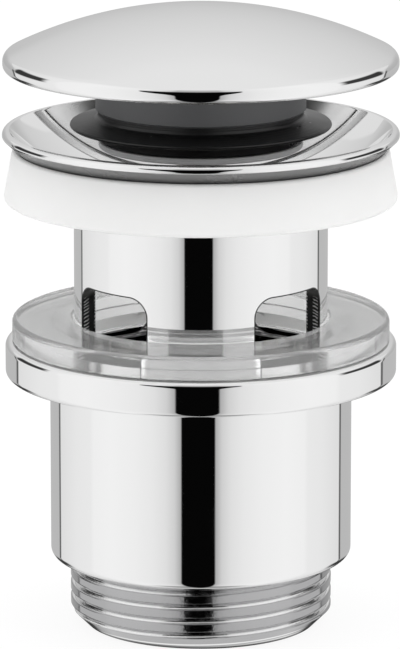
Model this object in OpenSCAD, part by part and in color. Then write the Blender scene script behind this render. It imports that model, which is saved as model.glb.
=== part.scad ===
// Pop up basin waste with a push open plug. The part stands upright on its outlet, +Z up, in millimetres.
// The origin is the middle of the outlet's lower end, and the front is towards -Y.

/* [Outlet] */
// Outside diameter of the outlet thread, a standard pipe thread
outlet_thread_d = 41.91; // [40.5:0.01:43]
// Length of the outlet below the shoulder
outlet_len = 11; // [9:0.5:30]
// Clear bore of the outlet
outlet_bore = 35; // [31:0.5:36]
// Lead-in chamfer at the outlet's lower end
outlet_chamfer = 2.4; // [1:0.1:2.8]

/* [Body] */
// Outside diameter of the cup
body_d = 48.2; // [46.5:0.1:54]
// Length of the cup from its shoulder to the collar
body_len = 29.6; // [26:0.2:60]
// Rounding of the cup's lower edge
body_edge_r = 1.2; // [0.4:0.1:2]
// How far the collar's edge stands back from the flange's edge
collar_inset = 0.3; // [0:0.1:2]
// Height of the collar
collar_h = 5.7; // [4:0.1:9]
// Rounding of the collar's upper edge
collar_top_r = 1; // [0.5:0.1:1.8]
// Cone at the mouth of the cup, under the clear gasket
mouth_cone = 2.6; // [0.4:0.1:3.5]
// Rounding of the collar's lower edge
collar_low_r = 0.9; // [0.3:0.1:1.8]
// Length of the cup's inside thread
cup_thread_len = 16; // [12:0.5:20]

/* [Gaskets] */
// How far the lower, clear gasket stands back from the collar's edge
lower_gasket_inset = 1.1; // [0:0.1:5]
// Height of the lower gasket
lower_gasket_h = 3.7; // [2:0.1:6]
// Rounding of the lower gasket's upper edge
lower_gasket_r = 0.8; // [0.2:0.1:1.5]
// How far the flange gasket's foot stands back from the flange's edge
gasket_inset = 0.25; // [0:0.05:2]
// Width of the flange gasket's top, outside the flange's cone
gasket_land = 1.2; // [1:0.05:2.4]
// Height of the flange gasket
flange_gasket_h = 7.75; // [6:0.05:8]
// Open height between the two gaskets, for the basin
clamp_gap = 19.05; // [14:0.05:30]

/* [Flange and tube] */
// Outside diameter of the flange
flange_d = 63; // [61:0.1:70]
// Height of the flange's rim
rim_t = 1.25; // [0.9:0.05:2]
// Width of the flat on top of the rim
rim_w = 1.1; // [0.6:0.1:2]
// Height of the rim above the flange gasket
rim_lift = 2.3; // [1.5:0.05:4]
// Rounding of the rim's upper edge
rim_top_r = 0.9; // [0.3:0.05:1]
// Wall of the dish at its rim, over its conical underside
dish_wall = 1.5; // [1.2:0.1:2]
// Hollow of the dish, as the radius of its curve from rim to seat
bowl_r = 34; // [30:1:80]
// Outside diameter of the tube
tube_d = 40.4; // [39.5:0.1:41]
// Wall of the tube
tube_wall = 2.35; // [1.8:0.05:2.6]
// Number of windows in the tube
window_count = 4; // [4]
// Width of each window
window_w = 15; // [8:0.1:17]
// Height of each window
window_h = 13.4; // [8:0.1:15]
// Corner radius of each window
window_r = 3; // [1:0.1:4]
// Angle of each window from the front or back
window_angle = 46.75; // [40:0.25:50]
// Distance from the rim's top down to the windows
window_drop = 23.85; // [22:0.05:26]
// Length of tube thread held by the cup
thread_grip = 6; // [4:0.5:10]

/* [Plug] */
// How far the cap reaches beyond the flange's edge
cap_over = -0.15; // [-2:0.05:3]
// Radius of the cap's dome
dome_r = 69.1; // [50:0.1:120]
// Wall of the cap
cap_wall = 1.8; // [1.2:0.1:2.4]
// Closing disc that covers the hollow under the cap
cap_disc_t = 1.2; // [0.6:0.1:1.3]
// Height of the cap's rim band
cap_band = 2.4; // [1.5:0.05:4]
// Rounding between the cap's dome and its band
cap_top_r = 1.6; // [0.3:0.05:2]
// Rounding of the cap's lower edge
cap_low_r = 1; // [0.3:0.05:1.8]
// Height of the raised cap above the flange
cap_gap = 9.5; // [9.4:0.1:16]
// Stroke of the plug when it is pressed right down
plug_travel = 8.8; // [7:0.1:9]
// Diameter of the seal's lip
lip_d = 41.5; // [38:0.1:46]
// Thickness of the lip's edge
lip_edge = 0.65; // [0.5:0.05:0.8]
// Height of the raised lip above the flange
lip_lift = 0.4; // [0:0.05:2]
// Diameter of the carrier
carrier_d = 33.4; // [30:0.1:36]
// Diameter of the seal's neck
neck_d = 32.6; // [29:0.1:34]
// Diameter of the disc under the seal
retainer_d = 32.4; // [28:0.1:33]

/* [Cartridge] */
// Diameter of the index drum
drum_d = 10; // [9.6:0.1:10.6]
// Diameter of the follower pin
pin_d = 1.4; // [1:0.05:1.5]
// Width of the track in the drum
track_w = 1.9; // [1.8:0.05:2.1]
// Depth of the track
track_depth = 1.3; // [1.2:0.05:1.4]
// Steps of the track in one turn
track_steps = 3; // [3]
// Turn of the drum in one press
press_turn = 48; // [40:1:50]
// Rise of the plug when it is let go in the closed place
latch_rise = 1; // [0.6:0.1:1.2]
// Diameter of the stem
stem_d = 8; // [7.6:0.1:8.4]
// Diameter of the stud on top of the stem
stud_d = 6; // [5:0.1:6.4]
// Wall of the plunger's sleeve
sleeve_wall = 1.1; // [0.9:0.05:1.3]
// Wall of the barrel
barrel_wall = 1.45; // [1.2:0.05:1.8]
// Width across the flats of the barrel's head and nut
hex_af = 18; // [17.6:0.1:19]
// Wire of the return spring
wire_d = 0.6; // [0.4:0.05:0.7]
// Turns of the return spring
spring_turns = 12; // [8:1:16]

/* [Spider] */
// Width of the spider's arms
arm_w = 3.2; // [2.4:0.1:5]
// Height of the spider
spider_h = 5.5; // [4:0.1:6.5]
// Diameter of the spider's hub
hub_d = 20; // [19:0.1:22]
// Width of the spider's ring
ring_w = 1.8; // [1.4:0.1:2.6]

/* [Clearances] */
// Running clearance of turning and sliding round pieces, on the radius
run_clear = 0.05; // [0.02:0.01:0.1]
// Clearance of the tube's thread in the cup, on the radius
thread_clear = 0.08; // [0.02:0.01:0.1]
// Clearance of pieces that are screwed or clipped together
seat_clear = 0.05; // [0.02:0.01:0.1]
// Clearance of pieces that pass each other freely
free_clear = 0.3; // [0.25:0.05:0.4]

/* [Hidden] */
$fn = 96;
eps = 0.01;
over = 1;

// Diameters that follow the flange
collar_d = flange_d - 2 * collar_inset;
lower_gasket_d = collar_d - 2 * lower_gasket_inset;
cap_d = flange_d + 2 * cap_over;

// Heights of the outside pieces, from the outlet's lower end upwards
shoulder_z = outlet_len;
collar_z = shoulder_z + body_len;
collar_top = collar_z + collar_h;
lower_gasket_top = collar_top + lower_gasket_h;
flange_gasket_z = lower_gasket_top + clamp_gap;
flange_gasket_top = flange_gasket_z + flange_gasket_h;
rim_low = flange_gasket_top + rim_lift;
rim_top = rim_low + rim_t;

// Inside of the cup
tube_r = tube_d / 2;
cup_thread_r = tube_r + thread_clear;
cup_floor = shoulder_z + 3;
cup_thread_top = cup_floor + cup_thread_len;
cup_bore_r = tube_r + 1.1;
outlet_r = outlet_bore / 2;

// Tube below the flange
tube_low = cup_thread_top - thread_grip;
tube_in = tube_r - tube_wall;
window_top = rim_top - window_drop;
window_low = window_top - window_h;

// Plug heights, with the plug raised as in the photo
lip_low = rim_top + lip_lift;
seal_below = 2.2;
seal_above = 2.6;
seal_low = lip_low - seal_below;
retainer_t = 1.05;
retainer_low = seal_low - retainer_t;
seal_top = lip_low + seal_above;
carrier_low = seal_top + seat_clear;
cap_low = rim_top + cap_gap;
carrier_top = cap_low + 0.75;
cap_edge = cap_low + cap_band;
dome_c = cap_edge - sqrt(dome_r * dome_r - cap_d * cap_d / 4);
cap_apex = dome_c + dome_r;
core_r = neck_d / 2 - 3.3;
rib_wall = 2;
rib_w = 1.6;
boss_r = 5.4;
cap_lip = 2.6;
cap_disc_z = cap_low + 0.3;
cap_disc_r = cap_d / 2 - cap_lip - 0.1;
cap_roof_z = dome_c + sqrt(pow(dome_r - cap_wall, 2) - cap_disc_r * cap_disc_r);
cap_disc_top = min(cap_disc_z + cap_disc_t, cap_roof_z - 0.1);

// Dish: hollow above, conical below, and the pressed lip stops just above it
dish_top_r = flange_d / 2 - rim_w;
dish_lip_z = lip_low - plug_travel - 0.25;
dish_slope = (rim_top - dish_lip_z) / (dish_top_r - lip_d / 2);
dish_drop = dish_wall * sqrt(1 + dish_slope * dish_slope);
throat_r = tube_in - 0.45;
dish_chord = norm([dish_top_r - lip_d / 2, rim_top - dish_lip_z]);
bowl_reach = sqrt(bowl_r * bowl_r - dish_chord * dish_chord / 4);
bowl_c_r = (dish_top_r + lip_d / 2) / 2 - bowl_reach * (rim_top - dish_lip_z) / dish_chord;
bowl_c_z = (rim_top + dish_lip_z) / 2 + bowl_reach * (dish_top_r - lip_d / 2) / dish_chord;
under_tube_z = rim_top - dish_drop - (dish_top_r - tube_r) * dish_slope;
under_rim_r = min(flange_d / 2, dish_top_r + (rim_low + dish_drop - rim_top) / dish_slope);

// Spider and the barrel that hangs in it, below the pressed plug
gland_top = retainer_low - plug_travel - 0.75;
gland_head = 0.9;
barrel_top = gland_top - gland_head;
hex_h = 1.2;
washer_t = 0.5;
spider_top = barrel_top - hex_h - washer_t;
spider_z = spider_top - spider_h;
nut_h = 4.2;

// Nested round pieces of the cartridge, from the middle outwards
drum_r = drum_d / 2;
post_r = 2.3;
spigot_r = 1.75;
sleeve_in = drum_r + 2 * run_clear;
sleeve_r = sleeve_in + sleeve_wall;
barrel_in = sleeve_r + run_clear;
barrel_r = barrel_in + barrel_wall;
mouth_r = barrel_in + 0.25;
stem_r = stem_d / 2;
stud_r = stud_d / 2;
spring_r = 2.7;
stem_in = spring_r + 0.2;

// Heights inside the cartridge
gland_len = 5.1;
oring_d = 1.24;
groove_up = 2.5;
groove_h = oring_d + 0.16;
gland_low = barrel_top - gland_len;
groove_z = gland_low + groove_up;
sleeve_top = gland_low - 0.1;
track_margin = track_w / 2 + 1.85;
sleeve_step = sleeve_top - 1.8;
washer_top = sleeve_step - plug_travel - 1.5;
seat_t = 0.5;
seat_inset = 0.4;
drum_gap = 0.2;
spigot_h = 4.8;
drain_r = 0.9;
post_top = washer_top - seat_t;
drum_top = post_top - drum_gap;
pin_z = drum_top - track_margin;
drum_low = pin_z - plug_travel - track_margin - 1.2;
post_floor = drum_low - drum_gap;
sleeve_low = pin_z - 3;
post_base = post_floor - 3.6;
ring_t = 0.8;
ring_bite = 0.75;
ring_lip = 1.05;
ring_gap = 3.2;
barrel_low = post_base - ring_t - 0.8;
hollow_roof = 2.45;
stud_reach = 5.3;
stem_hollow = retainer_low - hollow_roof;
stud_top = carrier_top + stud_reach;
carrier_nut_af = 10;
carrier_nut_h = 4;
pocket_r = carrier_nut_af / 2 / cos(30) + 0.83;
nut_floor = carrier_top - carrier_nut_h - 0.4;
floor_r = drum_r - track_depth;
pin_tip = floor_r + 0.35;

// Plain round tube between two heights
module tube(r_out, r_in, z_low, z_high) {
    difference() {
        translate([0, 0, z_low]) cylinder(r = r_out, h = z_high - z_low);
        translate([0, 0, z_low - over]) cylinder(r = r_in, h = z_high - z_low + 2 * over);
    }
}

// Cut that rounds an outside corner of a turned profile: the corner point, the radius, and the two
// ways from the corner into the material
module corner_cut(x, y, r, sx, sy) {
    difference() {
        translate([x + (sx > 0 ? -1 : -r), y + (sy > 0 ? -1 : -r)]) square([r + 1, r + 1]);
        translate([x + sx * r, y + sy * r]) circle(r);
    }
}

// Hexagon prism by its width across the flats
module hexagon(af, z_low, z_high) {
    translate([0, 0, z_low]) cylinder(d = af / cos(30), h = z_high - z_low, $fn = 6);
}

// Cup, collar and outlet, turned from one brass casting
module waste_body() {
    thread_r = outlet_thread_d / 2;
    color("silver") rotate_extrude() difference() {
        union() {
            polygon([[outlet_r, 0], [thread_r - outlet_chamfer, 0], [thread_r, outlet_chamfer],
                [thread_r, shoulder_z + 1], [outlet_r, shoulder_z + 1]]);
            difference() {
                translate([outlet_r, shoulder_z]) square([body_d / 2 - outlet_r, body_len + 1]);
                corner_cut(body_d / 2, shoulder_z, body_edge_r, -1, 1);
            }
            difference() {
                translate([outlet_r, collar_z]) square([collar_d / 2 - outlet_r, collar_h]);
                corner_cut(collar_d / 2, collar_top, collar_top_r, -1, -1);
                corner_cut(collar_d / 2, collar_z, collar_low_r, -1, 1);
            }
        }
        // inside thread, clear bore above it and the funnel to the outlet
        polygon([[outlet_r - 1, cup_floor - (cup_thread_r - outlet_r) * 0.9], [outlet_r, cup_floor
            - (cup_thread_r - outlet_r) * 0.9], [cup_thread_r, cup_floor], [cup_thread_r, cup_thread_top],
            [cup_bore_r, cup_thread_top + cup_bore_r - cup_thread_r], [cup_bore_r, collar_top - mouth_cone],
            [cup_bore_r + mouth_cone + eps, collar_top + eps], [outlet_r - 1, collar_top + eps]]);
    }
}

// Clear soft gasket on the collar
module lower_gasket() {
    in_r = tube_r + free_clear;
    color("lightcyan") rotate_extrude() difference() {
        translate([in_r, collar_top]) square([lower_gasket_d / 2 - in_r, lower_gasket_h]);
        corner_cut(lower_gasket_d / 2, lower_gasket_top, lower_gasket_r, -1, -1);
        corner_cut(lower_gasket_d / 2, collar_top, 0.3, -1, 1);
    }
}

// Rounded rectangle drawn from its middle
module window_shape() {
    square([window_w - 2 * window_r, window_h], center = true);
    square([window_w, window_h - 2 * window_r], center = true);
    for (sx = [-1, 1], sy = [-1, 1])
        translate([sx * (window_w / 2 - window_r), sy * (window_h / 2 - window_r)]) circle(window_r);
}

// Flange with its hollow dish and the slotted tube, one brass piece
module waste_flange() {
    r = flange_d / 2;
    color("silver") difference() {
        rotate_extrude() difference() {
            polygon([[tube_in, tube_low], [tube_r - 0.8, tube_low], [tube_r, tube_low + 0.8],
                [tube_r, under_tube_z], [under_rim_r, rim_low], [r, rim_low], [r, rim_top],
                [throat_r, rim_top], [throat_r, spider_top], [tube_in, spider_top]]);
            translate([bowl_c_r, bowl_c_z]) circle(bowl_r, $fn = 200);
            corner_cut(r, rim_top, min(rim_top_r, rim_t - 0.35), -1, -1);
            corner_cut(r, rim_low, 0.3, -1, 1);
        }
        for (side = [-90, 90], sign = [-1, 1])
            rotate([0, 0, side + sign * window_angle])
                translate([tube_in - 4, 0, window_top - window_h / 2])
                    rotate([90, 0, 90]) linear_extrude(height = tube_wall + 8) window_shape();
    }
}

// White soft gasket, conical inside to seat on the flange's underside
module flange_gasket() {
    foot_r = flange_d / 2 - gasket_inset;
    cone_low_r = tube_r + (flange_gasket_z - under_tube_z + 0.1) / dish_slope;
    cone_top_r = tube_r + (flange_gasket_top - under_tube_z + 0.1) / dish_slope;
    top_r = cone_top_r + gasket_land;
    in_r = max(tube_r + 0.2, cone_low_r);
    in_z = under_tube_z - 0.1 + (in_r - tube_r) * dish_slope;
    color("white") rotate_extrude() difference() {
        polygon([[in_r, flange_gasket_z], [foot_r, flange_gasket_z], [foot_r, flange_gasket_z + 0.9],
            [top_r, flange_gasket_top - 1.2], [top_r - 0.35, flange_gasket_top - 0.35],
            [cone_top_r + gasket_land / 2.4, flange_gasket_top], [cone_top_r, flange_gasket_top],
            [in_r, max(in_z, flange_gasket_z + eps)]]);
        corner_cut(foot_r, flange_gasket_z, 0.6, -1, 1);
    }
}

// Ring, four arms and hub that carry the cartridge, screwed into the tube from below
module spider() {
    ring_r = tube_in - seat_clear;
    color("goldenrod") difference() {
        union() {
            tube(ring_r, ring_r - ring_w, spider_z, spider_top - seat_clear);
            translate([0, 0, spider_z]) cylinder(d = hub_d, h = spider_h);
            for (a = [45 : 90 : 315])
                rotate([0, 0, a]) translate([hub_d / 2 - 1, -arm_w / 2, spider_z + 0.4])
                    cube([ring_r - ring_w / 2 - hub_d / 2 + 1, arm_w, spider_h - 0.8]);
        }
        translate([0, 0, spider_z - 1]) cylinder(r = barrel_r + seat_clear, h = spider_h + 2);
    }
}

// Barrel of the cartridge with its hexagon head, guide slot and clip groove
module cartridge_barrel() {
    color("goldenrod") difference() {
        union() {
            translate([0, 0, barrel_low]) cylinder(r = barrel_r, h = barrel_top - barrel_low);
            hexagon(hex_af, barrel_top - hex_h, barrel_top);
        }
        translate([0, 0, barrel_low - 1]) cylinder(r = barrel_in, h = barrel_top - barrel_low + 2);
        translate([0, 0, gland_low - 0.2]) cylinder(r = mouth_r, h = barrel_top - gland_low + 1);
        tube(barrel_in + ring_bite, barrel_in - 1, post_base - ring_t - seat_clear, post_base);
        // slot that keeps the pin, and so the plunger, from turning
        slot_low = pin_z - plug_travel - pin_d / 2 - 0.3;
        slot_high = pin_z + pin_d / 2 + 0.3;
        translate([-pin_d / 2 - 0.1, -barrel_r - 1, slot_low])
            cube([pin_d + 0.2, barrel_wall + 2, slot_high - slot_low]);
    }
}

// Flat fibre washer under the barrel's head
module barrel_washer() {
    color("firebrick") tube(hub_d / 2 - 0.6, barrel_r + seat_clear, spider_top, spider_top + washer_t);
}

// Nut that clamps the barrel to the hub
module barrel_nut() {
    color("goldenrod") difference() {
        hexagon(hex_af, spider_z - nut_h, spider_z);
        translate([0, 0, spider_z - nut_h - 1]) cylinder(r = barrel_r + seat_clear, h = nut_h + 2);
    }
}

// Guide bush in the barrel's mouth, with the groove for the wiper ring and two spanner flats
module gland_nut() {
    head_r = barrel_r - 0.1;
    color("goldenrod") difference() {
        union() {
            translate([0, 0, gland_low]) cylinder(r = mouth_r - seat_clear, h = barrel_top - gland_low);
            intersection() {
                translate([0, 0, barrel_top]) cylinder(r = head_r, h = gland_head);
                translate([-head_r, -head_r + 1, barrel_top]) cube([2 * head_r, 2 * head_r - 2, gland_head]);
            }
        }
        translate([0, 0, gland_low - 1]) cylinder(r = stem_r + run_clear, h = 9);
        tube(stem_r + oring_d + 0.11, stem_r - 1, groove_z, groove_z + groove_h);
    }
}

// Wiper ring around the stem
module stem_o_ring() {
    color("black") translate([0, 0, groove_z + groove_h / 2]) rotate_extrude()
        translate([stem_r + oring_d / 2 + 0.04, 0]) circle(oring_d / 2);
}

// Bottom plug of the barrel with the post that the drum turns on, drained by three holes
module drum_post() {
    color("goldenrod") difference() {
        union() {
            translate([0, 0, post_base]) cylinder(r = barrel_in - seat_clear, h = post_floor - post_base);
            translate([0, 0, post_floor - eps]) cylinder(r = post_r, h = post_top - post_floor + eps);
            translate([0, 0, post_top - eps]) cylinder(r = spigot_r, h = spigot_h);
        }
        for (a = [30 : 120 : 270])
            rotate([0, 0, a]) translate([(barrel_in + post_r) / 2 - 0.15, 0, post_base - 1])
                cylinder(r = drain_r, h = post_floor - post_base + 2);
    }
}

// Open spring ring that holds the post in the barrel
module retaining_ring() {
    color("gray") difference() {
        tube(barrel_in + ring_bite - seat_clear, barrel_in - ring_lip, post_base - ring_t,
            post_base - seat_clear);
        translate([-ring_gap / 2, 0, post_base - ring_t - over]) cube([ring_gap, barrel_r, ring_t + 2 * over]);
    }
}

// One straight run of the drum's track between two points given by angle and height
module track_run(a0, z0, a1, z1) {
    mid = (a0 + a1) / 2;
    ref_r = (pin_tip + drum_r) / 2;
    u0 = ref_r * sin(a0 - mid);
    u1 = ref_r * sin(a1 - mid);
    long = sqrt((u1 - u0) * (u1 - u0) + (z1 - z0) * (z1 - z0));
    rotate([0, 0, mid]) translate([floor_r, u0, z0]) rotate([atan2(z1 - z0, u1 - u0), 0, 0])
        translate([0, 0, -track_w / 2]) cube([track_depth + 1, long, track_w]);
}

// Round pocket at a turning point of the track
module track_pocket(a, z) {
    rotate([0, 0, a]) translate([floor_r, 0, z]) rotate([0, 90, 0])
        cylinder(r = track_w / 2 + 0.04, h = track_depth + 1);
}

// Drum with the closed track: down one leg, up into the latch, down again and up the other leg
module index_drum() {
    step = 360 / track_steps;
    low_z = pin_z - plug_travel;
    path = [[0, pin_z], [press_turn / 2, (pin_z + low_z) / 2], [press_turn, low_z],
        [step / 2, low_z + latch_rise], [step - press_turn, low_z],
        [step - press_turn / 2, (pin_z + low_z) / 2], [step, pin_z]];
    color("ivory") difference() {
        tube(drum_r, post_r + run_clear, drum_low, drum_top);
        for (s = [0 : track_steps - 1], i = [0 : len(path) - 2]) {
            track_run(path[i][0] + s * step - 90, path[i][1], path[i + 1][0] + s * step - 90, path[i + 1][1]);
            track_pocket(path[i][0] + s * step - 90, path[i][1]);
        }
    }
}

// Flat seat of the spring, resting on the post's shoulder
module spring_washer() {
    color("gray") tube(drum_r - seat_inset, spigot_r + seat_clear, post_top, washer_top);
}

// Height of the spring's wire after some turns: closed end turns, even pitch between them
function coil_z(turn, low, high) =
    let (n = spring_turns, w = wire_d, pitch = (high - low - 3 * w) / (n - 2))
    turn < 1 ? low + w / 2 + turn * w
    : turn > n - 1 ? high - w / 2 - (n - turn) * w
    : low + 1.5 * w + (turn - 1) * pitch;

// Return spring, standing on its washer and pushing inside the stem
module return_spring() {
    steps = 14;
    sides = 6;
    mid_r = spring_r - wire_d / 2;
    low = washer_top + 0.05;
    high = stem_hollow - 0.05;
    count = spring_turns * steps;
    ring_points = [for (i = [0 : count], k = [0 : sides - 1])
        let (turn = i / steps, a = 360 * turn, b = 360 * k / sides, r = mid_r + wire_d / 2 * cos(b))
        [r * cos(a), r * sin(a), coil_z(turn, low, high) + wire_d / 2 * sin(b)]];
    side_faces = [for (i = [0 : count - 1], k = [0 : sides - 1])
        let (a = i * sides + k, b = i * sides + (k + 1) % sides)
        [a, a + sides, b + sides, b]];
    first_end = [for (k = [0 : sides - 1]) k];
    last_end = [for (k = [sides - 1 : -1 : 0]) count * sides + k];
    color("gray") polyhedron(ring_points, concat(side_faces, [first_end, last_end]));
}

// Stem with its stud above and the sleeve with its pin hole below
module plunger() {
    color("goldenrod") difference() {
        union() {
            translate([0, 0, sleeve_low]) cylinder(r = sleeve_r, h = sleeve_top - sleeve_low);
            translate([0, 0, sleeve_top - eps]) cylinder(r = stem_r, h = retainer_low - sleeve_top + eps);
            translate([0, 0, retainer_low - eps]) cylinder(r = stud_r, h = stud_top - retainer_low + eps);
        }
        translate([0, 0, sleeve_low - 1]) cylinder(r = sleeve_in, h = sleeve_step - sleeve_low + 1);
        translate([0, 0, sleeve_step - 1]) cylinder(r = stem_in, h = stem_hollow - sleeve_step + 1);
        translate([0, 0, pin_z]) rotate([90, 0, 0]) cylinder(r = pin_d / 2 + 0.02, h = sleeve_r + 2);
    }
}

// Radial pin: inner end in the drum's track, outer end in the barrel's slot
module follower_pin() {
    color("gray") translate([0, -pin_tip, pin_z]) rotate([90, 0, 0])
        cylinder(r = pin_d / 2, h = barrel_r - 0.2 - pin_tip);
}

// Disc that holds the seal on the carrier
module seal_retainer() {
    color("lightgray") rotate_extrude() difference() {
        translate([stud_r + seat_clear, retainer_low])
            square([retainer_d / 2 - stud_r - seat_clear, retainer_t - seat_clear]);
        corner_cut(retainer_d / 2, retainer_low, 0.3, -1, 1);
    }
}

// Rubber seal with its flared lip
module plug_seal() {
    lip_r = lip_d / 2;
    neck_r = neck_d / 2;
    e = lip_edge;
    color("black") rotate_extrude()
        polygon([[core_r + seat_clear, seal_low], [neck_r - 0.77 * e, seal_low],
            [neck_r - 0.31 * e, seal_low + 0.46 * e], [neck_r - 0.31 * e, lip_low - 0.54 * e],
            [neck_r + 0.92 * e, lip_low - 0.08 * e], [lip_r - 0.38 * e, lip_low], [lip_r, lip_low + 0.46 * e],
            [lip_r - 0.38 * e, lip_low + e], [neck_r + 0.92 * e, lip_low + 2.08 * e],
            [neck_r, lip_low + 2.62 * e], [neck_r, seal_top], [core_r + seat_clear, seal_top]]);
}

// Moulded carrier: core for the seal, drum under the cap, pocket for the nut and ribbed top
module plug_carrier() {
    r = carrier_d / 2;
    color("dimgray") difference() {
        union() {
            rotate_extrude() difference() {
                polygon([[0, carrier_low], [r - 0.3, carrier_low], [r, carrier_low + 0.3],
                    [r - 0.25, carrier_top], [0, carrier_top]]);
            }
            translate([0, 0, seal_low]) cylinder(r = core_r, h = carrier_low - seal_low + 1);
        }
        translate([0, 0, seal_low - 1]) cylinder(r = stud_r + seat_clear, h = carrier_top);
        translate([0, 0, nut_floor]) cylinder(r = pocket_r, h = carrier_top);
        difference() {
            tube(r - rib_wall, pocket_r + rib_wall, carrier_low + rib_wall, carrier_top + 1);
            for (a = [0 : 60 : 300])
                rotate([0, 0, a]) translate([0, -rib_w / 2, carrier_low]) cube([r, rib_w, carrier_top]);
        }
    }
}

// Nut that clamps carrier and retainer on the stud
module carrier_nut() {
    color("goldenrod") difference() {
        hexagon(carrier_nut_af, nut_floor, nut_floor + carrier_nut_h);
        translate([0, 0, nut_floor - 1]) cylinder(r = stud_r + seat_clear, h = carrier_nut_h + 2);
    }
}

// Flat plated disc sprung into the cap's lip around the carrier
module cap_disc() {
    color("lightgray") rotate_extrude() difference() {
        translate([carrier_d / 2 + 0.3, cap_disc_z])
            square([cap_disc_r - carrier_d / 2 - 0.3, cap_disc_top - cap_disc_z]);
        corner_cut(cap_disc_r, cap_disc_z, 0.2, -1, 1);
    }
}

// Domed cap with a hollow underside and a threaded boss
module plug_cap() {
    r = cap_d / 2;
    boss_low = carrier_top + 0.1;
    // middle of the rounding that touches both the dome and the band
    top_c = dome_c + sqrt(pow(dome_r - cap_top_r, 2) - pow(r - cap_top_r, 2));
    top_a = atan2(top_c - dome_c, r - cap_top_r);
    low_r = min(cap_low_r, top_c - cap_low);
    color("silver") rotate_extrude() difference() {
        intersection() {
            translate([0, dome_c]) circle(dome_r, $fn = 200);
            translate([0, cap_low]) square([r, cap_apex - cap_low + 1]);
        }
        difference() {
            intersection() {
                translate([0, dome_c]) circle(dome_r - cap_wall, $fn = 200);
                translate([-1, cap_low - 1]) square([r - cap_lip + 1, cap_apex]);
            }
            translate([-1, boss_low]) square([1 + boss_r, cap_apex]);
        }
        translate([-1, boss_low - 1]) square([1 + stud_r + seat_clear, stud_top + 0.5 - boss_low + 1]);
        corner_cut(r, cap_low, low_r, -1, 1);
        difference() {
            polygon([[r - cap_top_r, top_c], [r + 1, top_c], [r + 1, cap_edge + 1],
                [r - cap_top_r + (cap_top_r + 1) * cos(top_a), top_c + (cap_top_r + 1) * sin(top_a)]]);
            translate([r - cap_top_r, top_c]) circle(cap_top_r);
        }
    }
}

waste_body();
lower_gasket();
waste_flange();
flange_gasket();
spider();
cartridge_barrel();
barrel_washer();
barrel_nut();
gland_nut();
stem_o_ring();
drum_post();
retaining_ring();
index_drum();
spring_washer();
return_spring();
plunger();
follower_pin();
seal_retainer();
plug_seal();
plug_carrier();
carrier_nut();
cap_disc();
plug_cap();
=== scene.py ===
import math

import bmesh
import bpy
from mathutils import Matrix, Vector


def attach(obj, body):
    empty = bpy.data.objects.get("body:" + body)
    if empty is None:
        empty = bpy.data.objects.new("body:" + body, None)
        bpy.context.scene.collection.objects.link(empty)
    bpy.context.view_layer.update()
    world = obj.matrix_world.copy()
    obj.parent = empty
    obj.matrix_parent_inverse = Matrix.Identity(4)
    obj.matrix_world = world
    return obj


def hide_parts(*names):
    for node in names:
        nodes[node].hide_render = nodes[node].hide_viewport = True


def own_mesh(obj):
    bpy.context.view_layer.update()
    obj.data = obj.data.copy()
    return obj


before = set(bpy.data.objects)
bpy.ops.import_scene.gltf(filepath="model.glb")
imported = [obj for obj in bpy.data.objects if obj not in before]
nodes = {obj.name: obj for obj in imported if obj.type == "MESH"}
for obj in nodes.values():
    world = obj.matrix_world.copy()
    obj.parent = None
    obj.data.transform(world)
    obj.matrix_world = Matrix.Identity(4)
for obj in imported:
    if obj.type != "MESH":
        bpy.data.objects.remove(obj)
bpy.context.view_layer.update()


# Waste body: a brass cup with a collar above and the outlet below, cast in one, turned and chrome
# plated. It is screwed up the tube from under the basin, and the trap's nut goes on its outlet.
MM = 0.001
SHARP_DEG = 32


def arc(centre_r, centre_z, radius, start, end, steps_and_glints=8):
    """Points of a rounded edge in a turned profile, in millimetres and degrees."""
    turn = [math.radians(start + (end - start) * i / steps_and_glints) for i in range(steps_and_glints + 1)]
    return [(centre_r + radius * math.cos(a), centre_z + radius * math.sin(a)) for a in turn]


def with_rows(profile, near=0.07):
    """The profile with a point near both ends of each long run, so that reflections stay straight."""
    rows = []
    for (r0, z0), (r1, z1) in zip(profile, profile[1:] + profile[:1]):
        rows.append((r0, z0))
        run = math.hypot(r1 - r0, z1 - z0)
        if run > 6 * near:
            for share in (near / run, 1 - near / run):
                rows.append((r0 + (r1 - r0) * share, z0 + (z1 - z0) * share))
    return rows


def turned(name, profile, around=192, sharp=SHARP_DEG):
    """A turned piece: the closed profile, outside upwards, swept round the axis."""
    verts, rings = [], []
    for r, z in with_rows(profile):
        if r == 0:
            rings.append([len(verts)] * around)
            verts.append((0, 0, z * MM))
            continue
        rings.append([len(verts) + k for k in range(around)])
        for k in range(around):
            a = 2 * math.pi * k / around
            verts.append((r * math.cos(a) * MM, r * math.sin(a) * MM, z * MM))
    faces = []
    for low, high in zip(rings, rings[1:] + rings[:1]):
        for k in range(around):
            n = (k + 1) % around
            faces.append(list(dict.fromkeys((low[k], low[n], high[n], high[k]))))
    mesh = bpy.data.meshes.new(name)
    mesh.from_pydata(verts, [], [f for f in faces if len(f) > 2])
    mesh.shade_smooth()
    mesh.set_sharp_from_angle(angle=math.radians(sharp))
    piece = bpy.data.objects.new(name, mesh)
    bpy.context.scene.collection.objects.link(piece)
    return piece


def node_group(name, inputs, outputs, kind="ShaderNodeTree"):
    """An empty node group with its named sockets."""
    tree = bpy.data.node_groups.new(name, kind)
    for label, socket, value in inputs:
        made = tree.interface.new_socket(label, in_out="INPUT", socket_type=socket)
        if value is not None:
            made.default_value = value
    for label, socket in outputs:
        tree.interface.new_socket(label, in_out="OUTPUT", socket_type=socket)
    return tree


def put(tree, socket, value):
    """Links a socket to another one, or sets it to a plain value."""
    if isinstance(value, bpy.types.NodeSocket):
        tree.links.new(value, socket)
    else:
        socket.default_value = value


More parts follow.
